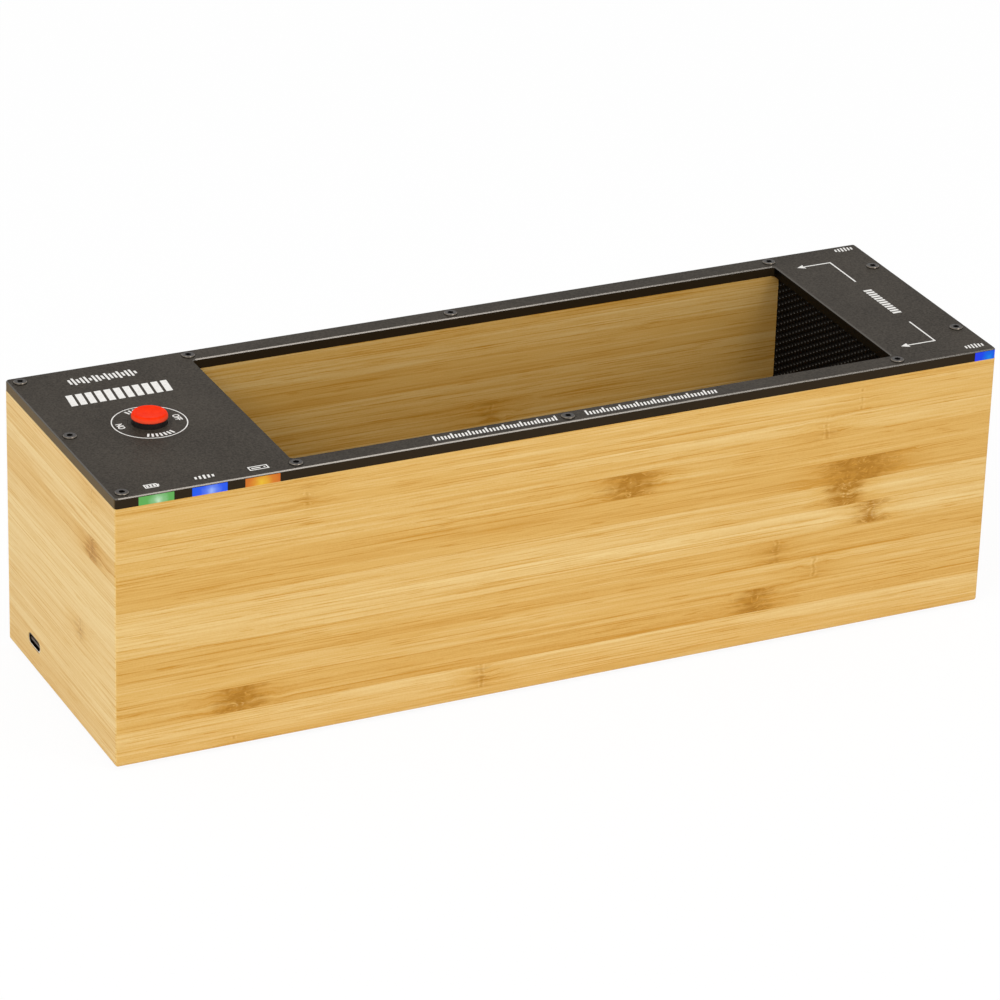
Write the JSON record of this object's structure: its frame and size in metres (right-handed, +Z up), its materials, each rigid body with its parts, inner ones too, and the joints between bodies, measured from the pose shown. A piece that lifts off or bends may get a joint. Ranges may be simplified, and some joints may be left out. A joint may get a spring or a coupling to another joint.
{
  "type": "phone safe",
  "caption": "Open-topped bamboo acoustic safe for a mobile phone, with a black plate, a red push button, light windows and speaker grilles at the ends of the bay.",
  "frame": {"origin": "on the desk, under the middle of the box", "axes": "+X along the box towards the arrows, -Y is the front with the three light windows, +Z up"},
  "size_m": [0.268, 0.083, 0.0843],
  "materials": {
    "bamboo": "clear matt lacquer",
    "inner_board": "raw board",
    "black_plate": "black anodised, fine matt",
    "grille_black": "black powder coat",
    "foam": "black foam",
    "foot_rubber": "matt",
    "black_steel": "black oxide",
    "green_guide": "lit light guide",
    "blue_guide": "lit light guide",
    "amber_guide": "lit light guide",
    "corner_guide": "lit light guide",
    "circuit_board": "solder mask",
    "led_white": "clear",
    "red_cap": "satin",
    "black_plastic": "satin",
    "bright_steel": "nickel plated",
    "speaker_steel": "black lacquer",
    "ferrite": "dull grey",
    "paper_cone": "paper pulp and rubber roll",
    "cell_wrap": "shrink film"
  },
  "bodies": {
    "case": {"amber_window": "amber_guide", "back_panel": "bamboo", "battery_cells": "cell_wrap", "bay_floor": "inner_board", "bay_pad": "foam", "blue_window": "blue_guide", "board_capacitors": "bright_steel", "board_chips": "black_plastic", "board_screws": "bright_steel", "board_sockets": "black_plastic", "board_spacers": "black_plastic", "bottom_panel": "inner_board", "control_board": "circuit_board", "feet": "foot_rubber", "floor_battens": "inner_board", "front_corner_window": "corner_guide", "front_led_board": "circuit_board", "front_leds": "led_white", "front_panel": "bamboo", "green_window": "green_guide", "left_baffle": "inner_board", "left_end_panel": "bamboo", "left_grille": "grille_black", "left_speaker_basket": "speaker_steel", "left_speaker_cone": "paper_cone", "left_speaker_magnet": "ferrite", "left_speaker_yoke": "speaker_steel", "plate_screws": "black_steel", "rear_corner_window": "corner_guide", "return_spring": "bright_steel", "right_baffle": "inner_board", "right_end_panel": "bamboo", "right_grille": "grille_black", "right_speaker_basket": "speaker_steel", "right_speaker_cone": "paper_cone", "right_speaker_magnet": "ferrite", "right_speaker_yoke": "speaker_steel", "side_led_board": "circuit_board", "side_leds": "led_white", "speaker_screws": "bright_steel", "switch_body": "black_plastic", "switch_collar": "black_plate", "switch_lugs": "bright_steel", "switch_nut": "bright_steel", "top_plate": "black_plate", "usb_shell": "bright_steel", "usb_tongue": "black_plastic"},
    "button": {"button_cap": "red_cap", "button_neck": "black_plastic", "button_plunger": "black_plastic"}
  },
  "joints": [
    {"name": "button_press", "type": "slide", "parent": "case", "child": "button", "axis": [0, 0, -1], "range_m": [0, 0.0015], "stiffness_N_per_m": 600, "springref_m": -0.003, "deforming": ["return_spring"]}
  ]
}
